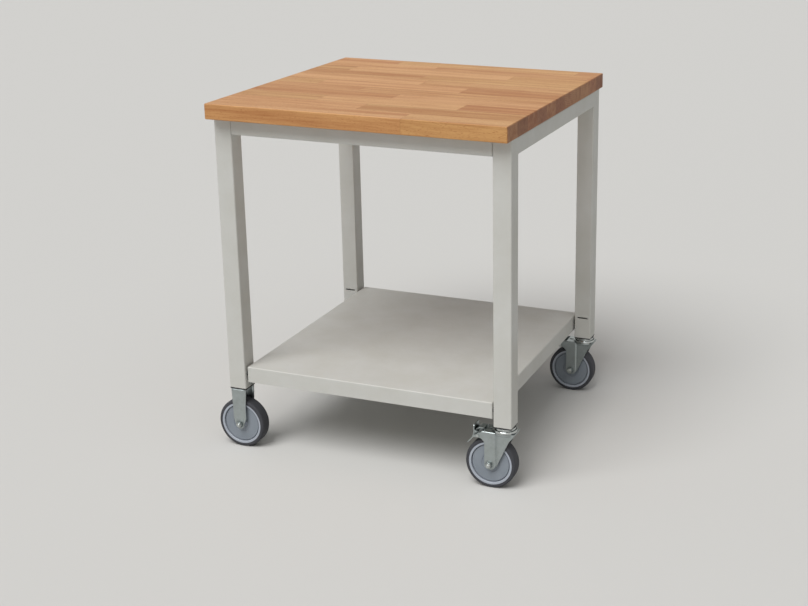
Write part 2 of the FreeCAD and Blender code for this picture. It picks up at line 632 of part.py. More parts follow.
bolt_tip = f"{LEG_END} + insert_depth + thread_end"
long_bolt = hex_bolt("swivel_caster_bolt", "large_thread", f"{bolt_tip} - {FOOT_BOTTOM}", "large_flats",
                     "large_head")
short_bolt = hex_bolt("rigid_caster_bolt", "large_thread", f"{bolt_tip} - (caster_height - fork_plate)",
                      "large_flats", "large_head")
group("swivel_caster_bolts", long_bolt,
      [(corner_point(end, "right", FOOT_BOTTOM), UPSIDE_DOWN) for end in ("front", "rear")])
group("rigid_caster_bolts", short_bolt,
      [(corner_point(end, "left", "caster_height - fork_plate"), UPSIDE_DOWN) for end in ("front", "rear")])

top_race = new_body("top_race")
RACE_EDGE = "head_radius - race_rim_thick - dust_gap"
turn(top_race, "race", [
    ("large_thread + pass_play", "caster_height"), (RACE_EDGE, "caster_height"),
    (RACE_EDGE, f"{BALL_LEVEL} + race_gap / 2"), ("kingpin_radius", f"{BALL_LEVEL} + race_gap / 2"),
    ("kingpin_radius", FOOT_TOP), ("kingpin_foot", FOOT_TOP), ("kingpin_foot", FOOT_BOTTOM),
    ("large_thread + pass_play", FOOT_BOTTOM)])
groove_ring(top_race, "ball_track", "ball_pitch", BALL_LEVEL, "ball_radius + ball_play")
group("swivel_top_races", top_race, [(corner_point(end, "right"), None) for end in ("front", "rear")])

axle_bolt = hex_bolt("axle_bolt", "axle_thread", "fork_width + axle_nut + thread_end", "axle_flats",
                     "axle_head")
axle_nut = hex_nut("axle_nut", "axle_thread + hole_play", "axle_flats", "axle_nut")
axle_sleeve = new_body("axle_sleeve")
pad(axle_sleeve, "tube", "XZ_Plane", length=f"2 * {CHEEK_INSIDE}", middle=True,
    circles=[(("0", "0"), "sleeve_radius"), (("0", "0"), "axle_thread + hole_play")])


def axle_place(end, side, step):
    """Where an axle piece stands, a step along Y from the wheel's middle."""
    return (f"{LEG_X[side]} + {AXLE_X[side]}", f"{LEG_Y[end]} + {step}", WHEEL_RADIUS)


def add_axles(bolt_label, nut_label, sleeve_label, places):
    """Bolt head at the back, nut at the front, sleeve between the cheeks."""
    group(bolt_label, axle_bolt,
          [(axle_place(end, side, "fork_width / 2"), HEAD_TO_Y["front"]) for end, side in places])
    group(nut_label, axle_nut,
          [(axle_place(end, side, "-fork_width / 2"), HEAD_TO_Y["rear"]) for end, side in places])
    group(sleeve_label, axle_sleeve, [(axle_place(end, side, "0"), None) for end, side in places])


# ---------------------------------------------------------------- rigid casters

def sloping_edge(flat, edge, depth):
    """Corners of the two wedges that slope a cheek's outer face inward from x = flat to x = edge."""
    return [[(flat, f"{sign} fork_width / 2"), (edge, f"{sign} fork_width / 2"),
             (edge, f"{sign} (fork_width / 2 - {depth})")] for sign in "-+"]


def make_rigid_fork(end):
    """Bent strip over the wheel: each cheek has a flat middle between two sloping flanks."""
    fork = new_body(f"rigid_fork_{end}_left")
    outline = [("rigid_boss", WHEEL_RADIUS), ("rigid_cheek_half", f"{WHEEL_RADIUS} + rigid_taper"),
               ("rigid_cheek_half", f"{WHEEL_RADIUS} + rigid_flare"),
               ("rigid_top_half", "caster_height - rigid_shoulder"), ("rigid_top_half", "caster_height")]
    outline += [(f"-{across}", up) for across, up in reversed(outline)]
    pad(fork, "cheeks", "XZ_Plane", loops=[outline], length="fork_width", middle=True)
    pad(fork, "feet", "XZ_Plane", circles=[(("0", WHEEL_RADIUS), "rigid_boss")], length="fork_width",
        middle=True)
    dress(fork, "bends", "Fillet", "rigid_bend", lambda edge: runs_along(edge, ALONG_X)
          and edge.CenterOfMass.z > number("caster_height - rigid_bend"))
    flat = "(hub_radius + flat_margin)"
    flanks = [wedge for side in "-+"
              for wedge in sloping_edge(f"{side} {flat}", f"{side} rigid_top_half", "flank_depth")]
    pocket(fork, "flanks", "XY_Plane", loops=flanks, middle=True)
    near, far = f"({CHEEK_INSIDE} - flank_depth)", CHEEK_INSIDE
    inside = [("-rigid_top_half", f"-{near}"), (f"-{flat}", f"-{far}"), (flat, f"-{far}"),
              ("rigid_top_half", f"-{near}"), ("rigid_top_half", near), (flat, far), (f"-{flat}", far),
              ("-rigid_top_half", near)]
    pocket(fork, "wheel_gap", "XY_Plane", loops=[inside], length="caster_height - fork_plate", back=True)
    pocket(fork, "axle_holes", "XZ_Plane", middle=True,
           circles=[(("0", WHEEL_RADIUS), "axle_thread + hole_play")])
    pocket(fork, "bolt_hole", "XY_Plane", circles=[(("0", "0"), "large_thread + pass_play")], middle=True)
    place(fork, corner_point(end, "left"))
    return node(fork, fork.Label)


for end in ("front", "rear"):
    make_rigid_fork(end)
add_axles("rigid_axle_bolts", "rigid_axle_nuts", "rigid_axle_sleeves", [("front", "left"), ("rear", "left")])

# ---------------------------------------------------------------- swivel casters

def make_swivel_fork(end):
    """Pressed fork: two cheeks beside the wheel, webs up to the head, and arms over the wheel."""
    fork = new_body(f"swivel_fork_{end}_right")
    front, back = "-trail + cheek_front", "-trail - cheek_back"
    foot, arm_end = f"{WHEEL_RADIUS} - cheek_back", "-trail - arm_reach"
    arm_level = "caster_height - wheel_drop + arm_clear"
    outline = [(front, PLATE_TOP), (front, foot), (back, foot), (back, f"{arm_level} - arch"),
               (f"{back} - arch", arm_level), (arm_end, arm_level), (arm_end, f"{arm_level} + arm_tip"),
               ("-trail - arm_knee", PLATE_TOP)]
    pad(fork, "cheeks", "XZ_Plane", loops=[outline], length="fork_width", middle=True)

    def across_at(edge, low, high, near, far):
        middle = edge.CenterOfMass
        return (runs_along(edge, ALONG_Y) and number(low) < middle.z < number(high)
                and number(near) < middle.x < number(far))

    dress(fork, "foot_back", "Fillet", "0.95 * cheek_back",
          lambda edge: across_at(edge, "0", WHEEL_RADIUS, arm_end, "-trail"))
    dress(fork, "foot_front", "Fillet", "0.95 * cheek_front",
          lambda edge: across_at(edge, "0", WHEEL_RADIUS, "-trail", "0"))
    dress(fork, "arches", "Fillet", "arch", lambda edge: across_at(
        edge, WHEEL_RADIUS, f"{arm_level} + arm_tip / 2", f"{arm_end} + arch / 2", front))
    dress(fork, "bends", "Fillet", "swivel_bend", lambda edge: runs_along(edge, ALONG_X)
          and edge.CenterOfMass.z > number(f"{PLATE_TOP} - swivel_bend"))
    crease = f"{front} - crease_width"
    pocket(fork, "creases", "XY_Plane", loops=sloping_edge(crease, front, "web_step"), middle=True)
    web = [(crease, PLATE_TOP), ("head_radius", PLATE_TOP), ("head_radius", f"{PLATE_TOP} - fork_plate"),
           ("head_radius / 2", f"{PLATE_TOP} - web_waist"), (front, f"{WHEEL_RADIUS} - web_foot"),
           (crease, f"{WHEEL_RADIUS} - web_foot")]
    pad(fork, "webs", "XZ_Plane", loops=[web], length="fork_width - 2 * web_step", middle=True)
    inside = [(arm_end, CHEEK_INSIDE), (f"{crease} - fork_sheet / 2", CHEEK_INSIDE),
              (f"{front} - fork_sheet / 2", WEB_INSIDE), ("head_radius", WEB_INSIDE)]
    inside += [(along, f"-{half}") for along, half in reversed(inside)]
    pocket(fork, "wheel_gap", "XY_Plane", loops=[inside], length=f"{PLATE_TOP} - fork_plate", back=True)
    pad(fork, "head", "XY_Plane", circles=[(("0", "0"), "head_radius")], length="fork_plate",
        start=f"{PLATE_TOP} - fork_plate")
    notch_half = "(pedal_width / 2 + pedal_gap)"
    notch = [("-trail - plate_reach", f"-{notch_half}"), ("-trail - plate_reach", notch_half),
             (arm_end, notch_half), (arm_end, f"-{notch_half}")]
    pocket(fork, "pedal_notch", "XY_Plane", loops=[notch], middle=True)
    hole_middle = "-(head_radius + trail + plate_reach) / 2"
    pocket(fork, "plate_hole", "XY_Plane", middle=True,
           loops=[rectangle("plate_hole_length / 2", "plate_hole_width / 2", (hole_middle, "0"))])
    dress(fork, "hole_ends", "Fillet", "0.48 * plate_hole_width", lambda edge: runs_along(edge, ALONG_Z)
          and abs(edge.CenterOfMass.x - number(hole_middle)) < number("plate_hole_length / 2 + 0.01")
          and abs(edge.CenterOfMass.y) < number("plate_hole_width / 2 + 0.01"))
    pocket(fork, "neck_hole", "XY_Plane", circles=[(("0", "0"), "kingpin_radius + neck_play")], middle=True)
    pocket(fork, "cross_holes", "XZ_Plane", middle=True, circles=[
        (("-trail", WHEEL_RADIUS), "axle_thread + hole_play"), (PIN, "pin_radius + hole_play")])
    place(fork, corner_point(end, "right"))
    return node(fork, fork.Label)


def make_lower_race(end):
    """Ring on top of the fork, with the lower ball track and a rim round the fixed race."""
    race = new_body(f"lower_race_{end}_right")
    inside, track = "kingpin_radius + neck_play", f"{PLATE_TOP} + race_thick"
    rim = f"{track} + race_rim"
    turn(race, "race", [(inside, PLATE_TOP), ("head_radius", PLATE_TOP), ("head_radius", rim),
                        ("head_radius - race_rim_thick", rim), ("head_radius - race_rim_thick", track),
                        (inside, track)])
    dress(race, "rounds", "Chamfer", "race_round",
          lambda edge: edge.isClosed() and abs(edge.Curve.Radius - number("head_radius")) < 1e-6)
    groove_ring(race, "ball_track", "ball_pitch", BALL_LEVEL, "ball_radius + ball_seat")
    place(race, corner_point(end, "right"))
    return node(race, race.Label)


ball = doc.addObject("Part::Sphere", "ball")
bind(ball, Radius="ball_radius")
BALLS = 10


def make_balls(end):
    spots = [f"({360 * count / BALLS} deg)" for count in range(BALLS)]
    places = [(f"{LEG_X['right']} + ball_pitch * cos{spot}", f"{LEG_Y[end]} + ball_pitch * sin{spot}",
               BALL_LEVEL) for spot in spots]
    group(f"race_balls_{end}_right", ball, [(at, None) for at in places])


def make_pedal_pin(end):
    """Rivet through the fork's arms."""
    pin = new_body(f"pedal_pin_{end}_right")
    half = "fork_width / 2"
    turn(pin, "rivet", mirrored([(half, "pin_radius"), (half, "pin_head_radius"),
                                 (f"{half} + pin_head", "pin_head_radius"), (f"{half} + pin_head", "0")]),
         axis="H_Axis", role="YZ_Plane")
    place(pin, (f"{LEG_X['right']} + {PIN[0]}", LEG_Y[end], PIN[1]))
    return node(pin, pin.Label)


def make_pedal(end):
    """Bent sheet: an upright tab with a lip over the tyre, two ears on the pin, and a tongue."""
    pedal = new_body(f"brake_pedal_{end}_right")
    tab, tab_top, tab_foot = "-trail - arm_reach", f"({PLATE_TOP} + tab_rise)", f"({PLATE_TOP} - tab_drop)"
    knee, knee_level = f"{tab} - lip_lean", f"({tab_foot} - lip_drop)"
    tip, tip_level = f"{knee} - lip_reach", f"({knee_level} - lip_drop)"
    ear = [(knee, knee_level), (PIN[0], f"{PIN[1]} - ear_radius"), (PIN[0], f"{PIN[1]} + ear_radius"),
           (tab, f"{tab_foot} + ear_rise")]
    pad(pedal, "ears", "XZ_Plane", loops=[ear], length="pedal_width", middle=True)
    pad(pedal, "ear_ends", "XZ_Plane", circles=[(PIN, "ear_radius")], length="pedal_width", middle=True)
    half = "(pedal_width / 2 - pedal_sheet)"
    between = [(f"-{half}", "0"), (half, "0"), (half, tab_top), (f"-{half}", tab_top)]
    pocket(pedal, "between_ears", "YZ_Plane", loops=[between], middle=True)
    skin, slant = "pedal_sheet / 2", "pedal_sheet / 3"
    strip = [(f"{tab} + {skin}", tab_top), (f"{tab} - {skin}", tab_top), (f"{tab} - {skin}", tab_foot),
             (f"{knee} - {skin}", f"{knee_level} + {skin} / 2"),
             (f"{tip} - {slant}", f"{tip_level} + {slant}"), (f"{tip} + {slant}", f"{tip_level} - {slant}"),
             (f"{knee} + {skin}", f"{knee_level} - {skin} / 2"), (f"{tab} + {skin}", tab_foot)]
    pad(pedal, "strip", "XZ_Plane", loops=[strip], length="pedal_width", middle=True)
    dress(pedal, "tab_corners", "Fillet", "tab_round", lambda edge: runs_along(edge, ALONG_X)
          and edge.CenterOfMass.z > number(f"{tab_top} - tab_round / 2"))
    bend, tongue_end = f"{tab} + tongue_slope", f"{tab} + tongue_slope + tongue_flat"
    upper, lower = f"{PLATE_TOP} + tongue_rise", f"{PLATE_TOP} + tongue_rise - pedal_sheet"
    tongue = [(tab, f"{tab_foot} + pedal_sheet"), (bend, upper), (tongue_end, upper), (tongue_end, lower),
              (bend, lower), (tab, tab_foot)]
    pad(pedal, "tongue", "XZ_Plane", loops=[tongue], length="tongue_width", middle=True)
    pocket(pedal, "pin_hole", "XZ_Plane", circles=[(PIN, "pin_radius + running_play")], middle=True)
    place(pedal, corner_point(end, "right"))
    return node(pedal, pedal.Label)


for end in ("front", "rear"):
    make_swivel_fork(end)
    make_lower_race(end)
    make_balls(end)
    make_pedal_pin(end)
    make_pedal(end)
    add_axles(*[f"axle_{kind}_{end}_right" for kind in ("bolt", "nut", "sleeve")], [(end, "right")])

# ---------------------------------------------------------------- wheels

RIM_RADIUS = f"({WHEEL_RADIUS} - tyre_thick)"                 # where the tyre sits on the wheel centre
FLANGE_RADIUS = f"({RIM_RADIUS} - flange_thick)"
GUARD_RADIUS = f"({FLANGE_RADIUS} - groove_width)"


def wheel_piece(kind, end, side, loop):
    piece = new_body(f"{kind}_{end}_{side}")
    turn(piece, kind, loop, axis="H_Axis", role="YZ_Plane")
    place(piece, axle_place(end, side, "0"))
    return node(piece, piece.Label)


def make_wheel(end, side):
    """Tyre, wheel centre with a groove inside its outer ring, hub bush and two thread guards."""
    half, hub_end = "tyre_width / 2", f"({CHEEK_INSIDE} - hub_play)"
    tyre = wheel_piece("tyre", end, side, mirrored([(half, RIM_RADIUS), (half, WHEEL_RADIUS)]))
    dress(tyre, "shoulders", "Fillet", "tyre_shoulder", lambda edge: edge.isClosed()
          and abs(edge.Curve.Radius - number(WHEEL_RADIUS)) < 1e-6)
    face, guard_face = f"{half} - flange_inset", f"{half} - guard_inset"
    seat, groove = f"{guard_face} - guard_thick", f"{face} - groove_depth"
    wheel_piece("rim", end, side, mirrored([
        (hub_end, "bush_radius"), (hub_end, "hub_radius"), ("wheel_web / 2", "hub_radius"),
        ("wheel_web / 2", f"{GUARD_RADIUS} - guard_ledge"), (seat, f"{GUARD_RADIUS} - guard_ledge"),
        (seat, GUARD_RADIUS), (groove, GUARD_RADIUS), (groove, FLANGE_RADIUS),
        (f"{face} - flange_round", FLANGE_RADIUS), (face, f"{FLANGE_RADIUS} + flange_round"),
        (face, RIM_RADIUS)]))
    wheel_piece("hub_bush", end, side, mirrored([
        (hub_end, "sleeve_radius + running_play"), (hub_end, "bush_radius")]))
    guard = [(seat, "hub_radius + guard_play"), (seat, GUARD_RADIUS),
             (f"{guard_face} - guard_round", GUARD_RADIUS), (guard_face, f"{GUARD_RADIUS} - guard_round"),
             (guard_face, "dish_radius + dish_depth"),
             (f"{guard_face} - dish_depth", "dish_radius"),
             (f"{guard_face} - dish_depth", "hub_radius + guard_play")]
    guards = new_body(f"thread_guards_{end}_{side}")
    turn(guards, "outer_disc", guard, axis="H_Axis", role="YZ_Plane")
    turn(guards, "inner_disc", [(f"-({along})", radius) for along, radius in guard], axis="H_Axis",
         role="YZ_Plane")
    place(guards, axle_place(end, side, "0"))
    node(guards, guards.Label)


for end, side in CORNERS:
    make_wheel(end, side)

# ---------------------------------------------------------------- check and write

doc.recompute()
for thing in doc.Objects:
    if "Invalid" in thing.State or "Error" in thing.State:
        raise RuntimeError(f"{thing.Label} did not recompute: {thing.State}")

os.makedirs("parts", exist_ok=True)
for thing in nodes:
    if thing.Shape.isNull() or not thing.Shape.isValid():
        raise RuntimeError(f"{thing.Label} has no valid shape")
    thing.Shape.exportStep(f"parts/{thing.Label}.step")
print(len(nodes), "sub-parts written")
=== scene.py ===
"""Assembly table: finishes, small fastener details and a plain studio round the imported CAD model."""

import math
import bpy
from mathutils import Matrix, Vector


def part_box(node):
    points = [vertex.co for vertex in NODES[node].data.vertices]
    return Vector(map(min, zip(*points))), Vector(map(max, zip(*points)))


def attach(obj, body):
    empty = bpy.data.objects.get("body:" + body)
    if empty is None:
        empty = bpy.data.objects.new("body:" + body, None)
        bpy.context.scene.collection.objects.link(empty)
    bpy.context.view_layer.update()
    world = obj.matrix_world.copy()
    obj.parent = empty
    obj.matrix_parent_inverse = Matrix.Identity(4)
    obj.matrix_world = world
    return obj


bl_info = {
    "name": "Assembly Table",
    "version": (1, 0, 0),
    "blender": (4, 5, 0),
    "location": "3D View > Sidebar > Assembly Table",
    "description": "Finishes and fine details of a rolling assembly table, with a studio stage",
    "category": "Object",
}

import bmesh
import bpy
from bpy.props import FloatProperty, FloatVectorProperty, PointerProperty
from bpy.types import Operator, Panel, PropertyGroup
from mathutils import Matrix, Vector

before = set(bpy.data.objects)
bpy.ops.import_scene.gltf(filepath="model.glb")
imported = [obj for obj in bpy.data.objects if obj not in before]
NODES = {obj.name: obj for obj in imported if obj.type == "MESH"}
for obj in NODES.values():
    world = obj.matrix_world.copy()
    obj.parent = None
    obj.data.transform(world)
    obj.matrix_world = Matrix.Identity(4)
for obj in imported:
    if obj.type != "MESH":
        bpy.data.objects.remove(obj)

CORNERS = [f"{end}_{side}" for end in ("front", "rear") for side in ("left", "right")]
SWIVELS = ("front_right", "rear_right")

# What a Mix node does with two colours: it goes from one to the other, or tints one with the other.
BLEND = {"data_type": "RGBA"}
TINT = {"data_type": "RGBA", "blend_type": "MULTIPLY"}

# Folds sharper than this stay crisp on the pieces made here.
SHARP_ANGLE = math.radians(40)


# ---------------------------------------------------------------- colour, nodes and meshes

def linear(hex_colour):
    """Linear RGBA from an sRGB hex colour such as '#D2A877'."""
    channels = [int(hex_colour[start:start + 2], 16) / 255 for start in (1, 3, 5)]
    return tuple(c / 12.92 if c <= 0.04045 else ((c + 0.055) / 1.055) ** 2.4 for c in channels) + (1.0,)


def colour_property(name, description, hex_colour):
    return FloatVectorProperty(name=name, description=description, subtype="COLOR", size=4, min=0, max=1,
                               default=linear(hex_colour))


def length_property(name, description, metres):
    return FloatProperty(name=name, description=description, unit="LENGTH", min=0.00001, default=metres)


def add(tree, kind, settings=None, values=None, links=None):
    """Add a shader node with its settings, socket values and links."""
    node = tree.nodes.new(f"ShaderNode{kind}")
    for name, value in (settings or {}).items():
        setattr(node, name, value)
    for socket, value in (values or {}).items():
        node.inputs[socket].default_value = value
    for socket, source in (links or {}).items():
        tree.links.new(source, node.inputs[socket])
    return node


def new_material(name):
    """A material with an empty node tree; gives both."""
    material = bpy.data.materials.new(name)
    material.use_nodes = True
    material.node_tree.nodes.clear()
    return material, material.node_tree


def shade(material, values, links=None):
    """Close a material with its Principled shader: fixed values, and links from its patterns."""
    tree = material.node_tree
    shader = add(tree, "BsdfPrincipled", values=values, links=links)
    add(tree, "OutputMaterial", links={"Surface": shader.outputs["BSDF"]})
    return material


def finish(material, *names):
    """Give the material to CAD nodes."""
    for name in names:
        NODES[name].data.materials.clear()
        NODES[name].data.materials.append(material)


def new_piece(name, mesh_builder, material, body):
    """A mesh object made by bmesh that rides on a body."""
    mesh = bpy.data.meshes.new(name)
    shape = bmesh.new()
    mesh_builder(shape)
    bmesh.ops.recalc_face_normals(shape, faces=shape.faces)
    shape.to_mesh(mesh)
    shape.free()
    piece = bpy.data.objects.new(name, mesh)
    bpy.context.scene.collection.objects.link(piece)
    mesh.materials.append(material)
    for face in mesh.polygons:
        face.use_smooth = True
    mesh.set_sharp_from_angle(angle=SHARP_ANGLE)
    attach(piece, body)


def revolve(shape, profile, place, segments=48):
    """Turn a closed profile of (radius, along) about the local Z axis, then put it in place."""
    rings = []
    for step in range(segments):
        angle = 2 * math.pi * step / segments
        across, up = math.cos(angle), math.sin(angle)
        rings.append([shape.verts.new(place @ Vector((radius * across, radius * up, along)))
                      for radius, along in profile])
    count = len(profile)
    for step in range(segments):
        here, after = rings[step], rings[(step + 1) % segments]
        for point in range(count):
            other = (point + 1) % count
            shape.faces.new((here[point], after[point], after[other], here[other]))


def prism(shape, outline, bottom, top):
    """A straight prism over an outline of (x, y) points."""
    floor, roof = ([shape.verts.new((x, y, level)) for x, y in outline] for level in (bottom, top))
    shape.faces.new(floor)
    shape.faces.new(roof)
    for point in range(len(outline)):
        after = (point + 1) % len(outline)
        shape.faces.new((floor[point], floor[after], roof[after], roof[point]))


# ---------------------------------------------------------------- sizes and colours

class WorktopSettings(PropertyGroup):
    """Beech worktop."""
    stave_width: length_property("Stave width", "Width of one glued stave", 0.0665)
    stave_length: length_property("Stave length", "Mean length of a stave", 0.46)
    planed_off: length_property("Planed off", "What the front stave has lost to the planer", 0.002)
    joint_shift: FloatProperty(name="Joint shift", description="Moves every butt joint to the right",
                               unit="LENGTH", default=0.232)
    glue_line: length_property("Glue line", "Half the width of the dark line where two staves meet", 0.0004)
    ring_spacing: length_property("Ring spacing", "Growth rings in the beech", 0.0045)
    ring_wander: length_property("Ring wander", "Over this length the rings drift to and fro", 0.33)
    band_width: length_property("Band width", "Broad light and dark bands", 0.022)
    band_length: length_property("Band length", "Length of a band along the grain", 0.62)
    streak_width: length_property("Streak width", "Streaks within the bands", 0.0062)
    streak_length: length_property("Streak length", "Length of a streak along the grain", 0.14)
    fibre_width: length_property("Fibre width", "Bundles of fibres", 0.0019)
    fibre_length: length_property("Fibre length", "Length of a bundle along the grain", 0.062)
    fleck_width: length_property("Fleck width", "Width of a ray fleck", 0.001)
    fleck_length: length_property("Fleck length", "Dark ray flecks along the grain", 0.006)
    light_stave: colour_property("Light stave", "Palest oiled beech", "#CFA577")
    dark_stave: colour_property("Dark stave", "Darkest oiled beech", "#A97447")
    edge_tint: colour_property("Long edge", "Golden cast of the planed long edges", "#F6EFD9")
    end_tint: colour_property("End grain", "End grain drinks the oil and turns dark", "#BCA292")


class MetalSettings(PropertyGroup):
    """Coated and plated steel."""
    coat: colour_property("Powder coat", "Light grey powder coat", "#C6C6C2")
    zinc: colour_property("Zinc", "Zinc plating with a blue passivation, on pressed sheet", "#BAC2C4")
    bright: colour_property("Bright zinc", "The same plating on turned steel", "#D2D7D8")
    weld_radius: length_property("Tube corner", "Corner radius of the tubes that the welds fill", 0.003)
    peel: length_property("Orange peel", "Waviness of the powder coat", 0.004)
    dust: length_property("Dust", "Faint patches of dust and hand marks on the coat", 0.11)
    cloud: length_property("Zinc clouding", "Dull patches in the zinc", 0.012)
    mark: length_property("Rolling marks", "Fine marks of the rolled sheet", 0.0008)
    # Reach of the painted shade that darkens the zinc in creases and in the gaps between pieces.
    crease: length_property("Creases", "How far grime spreads from a crease", 0.008)
    rounding: length_property("Edge rounding", "Burnished edges of pressed and turned steel", 0.0004)


class LockRingSettings(PropertyGroup):
    """Crimped collars on the axle nuts."""
    bolt_radius: length_property("Hole", "Radius of the hole, which clears the axle bolt", 0.00405)
    ring_radius: length_property("Ring", "Outer radius of the nylon ring, where the steel begins", 0.005)
    crimp_radius: length_property("Crimp", "Outer radius of the collar's crimped end", 0.0056)
    collar_radius: length_property("Collar", "Outer radius of the collar next to the nut", 0.0062)
    collar_height: length_property("Collar height", "How far the collar stands out from the nut", 0.0018)
    ring_share: FloatProperty(name="Ring height", description="Height of the ring as a share of the collar's",
                              subtype="FACTOR", min=0.1, max=1, default=0.8)


class PlasticSettings(PropertyGroup):
    """Plastics and rubber."""
    tyre: colour_property("Tyre", "Grey thermoplastic rubber", "#3E3F44")
    rim: colour_property("Wheel centre", "Light grey polypropylene", "#AEB4BD")
    guard: colour_property("Thread guards", "Blue-grey polypropylene", "#8A9199")
    insert: colour_property("Inserts", "Black nylon", "#1D1D1F")
    bush: colour_property("Bushes", "Natural nylon", "#D9D8D0")
    flow: length_property("Flow", "Faint swirls of pigment", 0.033)
    grain: length_property("Mould grain", "Grain that the mould leaves", 0.0015)


class StageSettings(PropertyGroup):
    """Floor, lamps and camera."""
    floor: colour_property("Floor", "Pale floor", "#CFCECB")
    backdrop: colour_property("Backdrop", "What is seen behind the floor's far edge", "#D2D1CE")
    key: FloatProperty(name="Key light", description="Soft sun, high at the front left", min=0, default=2.25)
    top: FloatProperty(name="Top light", description="Softer sun from above", min=0, default=0.4)
    sky: FloatProperty(name="Sky", description="Even light from all round", min=0, default=0.27)
    lens: FloatProperty(name="Lens", description="Focal length in millimetres", unit="CAMERA", min=1,
                        default=60.61)


# ---------------------------------------------------------------- beech

def stave_cells(tree, sizes, place):
    """Rows of staves cut at uneven lengths: a chance colour for each stave, and the glue between them."""
    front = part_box("worktop")[0].y - sizes.planed_off
    across = add(tree, "Math", {"operation": "SUBTRACT"}, {1: front}, {0: place.outputs["Y"]})
    across = add(tree, "Math", {"operation": "DIVIDE"}, {1: sizes.stave_width}, {0: across.outputs[0]})
    row = add(tree, "Math", {"operation": "FLOOR"}, links={0: across.outputs[0]})
    # The staves of a row are cells along a line, and each row takes another stretch of that line.
    row_shift = 13.37
    offset = add(tree, "Math", {"operation": "MULTIPLY_ADD"},
                 {1: row_shift, 2: -sizes.joint_shift / sizes.stave_length}, {0: row.outputs[0]})
    run = add(tree, "Math", {"operation": "MULTIPLY_ADD"}, {1: 1 / sizes.stave_length},
              {0: place.outputs["X"], 2: offset.outputs[0]})
    uneven = {"Scale": 1.0, "Randomness": 0.8}
    stave = add(tree, "TexVoronoi", {"voronoi_dimensions": "1D"}, uneven, {"W": run.outputs[0]})

    # Glue lines: a hair of dark glue between two rows and at the butt joints within a row.
    side = add(tree, "Math", {"operation": "PINGPONG"}, {1: 0.5}, {0: across.outputs[0]})
    end = add(tree, "TexVoronoi", {"voronoi_dimensions": "1D", "feature": "DISTANCE_TO_EDGE"}, uneven,
              {"W": run.outputs[0]})
    side_glue, end_glue = (
        add(tree, "MapRange", values={"From Max": sizes.glue_line / size, "To Min": 1.0, "To Max": 0.0},
            links={"Value": gap}).outputs[0]
        for gap, size in ((side.outputs[0], sizes.stave_width),
                          (end.outputs["Distance"], sizes.stave_length)))
    glue = add(tree, "Math", {"operation": "MAXIMUM"}, links={0: side_glue, 1: end_glue})
    return stave.outputs["Color"], glue.outputs[0]


def growth_rings(tree, sizes, spot, place, chance):
    """Dark late wood: circles about a tree's heart, which lies somewhere else for each stave."""
    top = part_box("worktop")[1].z
    heart_reach = 0.12  # how far the heart lies before or behind the top's middle, at most
    heart_depth = 0.30  # how far it lies below the face, at most
    drift = 0.05  # how far a ring drifts to and fro
    wander = add(tree, "TexNoise", values={"Scale": 1 / sizes.ring_wander, "Detail": 1.0},
                 links={"Vector": spot})
    heart_y = add(tree, "Math", {"operation": "MULTIPLY_ADD"}, {1: 2 * heart_reach},
                  {0: chance.outputs["Green"], 2: place.outputs["Y"]})
    heart_z = add(tree, "Math", {"operation": "MULTIPLY_ADD"}, {1: heart_depth},
                  {0: chance.outputs["Blue"], 2: place.outputs["Z"]})
    heart = add(tree, "CombineXYZ", links={"Y": heart_y.outputs[0], "Z": heart_z.outputs[0]})
    heart = add(tree, "VectorMath", {"operation": "SUBTRACT"}, {1: (0.0, heart_reach, top)},
                {0: heart.outputs[0]})
    radius = add(tree, "VectorMath", {"operation": "LENGTH"}, links={0: heart.outputs[0]})
    radius = add(tree, "Math", {"operation": "MULTIPLY_ADD"}, {1: drift},
                 {0: wander.outputs["Fac"], 2: radius.outputs["Value"]})
    rings = add(tree, "Math", {"operation": "DIVIDE"}, {1: sizes.ring_spacing}, {0: radius.outputs[0]})
    rings = add(tree, "Math", {"operation": "FRACT"}, links={0: rings.outputs[0]})
    # A ring darkens slowly and ends sharply.
    return add(tree, "Math", {"operation": "POWER"}, {1: 3.0}, {0: rings.outputs[0]}).outputs[0]


def grain_patterns(tree, sizes, spot, stave):
    """Bands, streaks, fibres and flecks, which run along the stave and which no two staves share."""
    # Each stave takes its noise from this far away, at most, so that two staves have nothing in common.
    apart = 9.0
    shift = add(tree, "VectorMath", {"operation": "MULTIPLY_ADD"}, {1: (apart, apart, apart)},
                {0: stave, 2: spot})
    # Real fibres are 0.2 mm wide and real flecks 1 to 3 mm long. Both are drawn coarser, so that they show.
    grain = {}
    for name, width, length, detail in (("bands", sizes.band_width, sizes.band_length, 3.0),
                                        ("streaks", sizes.streak_width, sizes.streak_length, 2.0),
                                        ("fibres", sizes.fibre_width, sizes.fibre_length, 4.0),
                                        ("flecks", sizes.fleck_width, sizes.fleck_length, 1.0)):
        stretched = add(tree, "Mapping", values={"Scale": (1 / length, 1 / width, 1 / width)},
                        links={"Vector": shift.outputs[0]})
        noise = add(tree, "TexNoise", values={"Scale": 1.0, "Detail": detail},
                    links={"Vector": stretched.outputs[0]})
        grain[name] = noise.outputs["Fac"]
    return grain


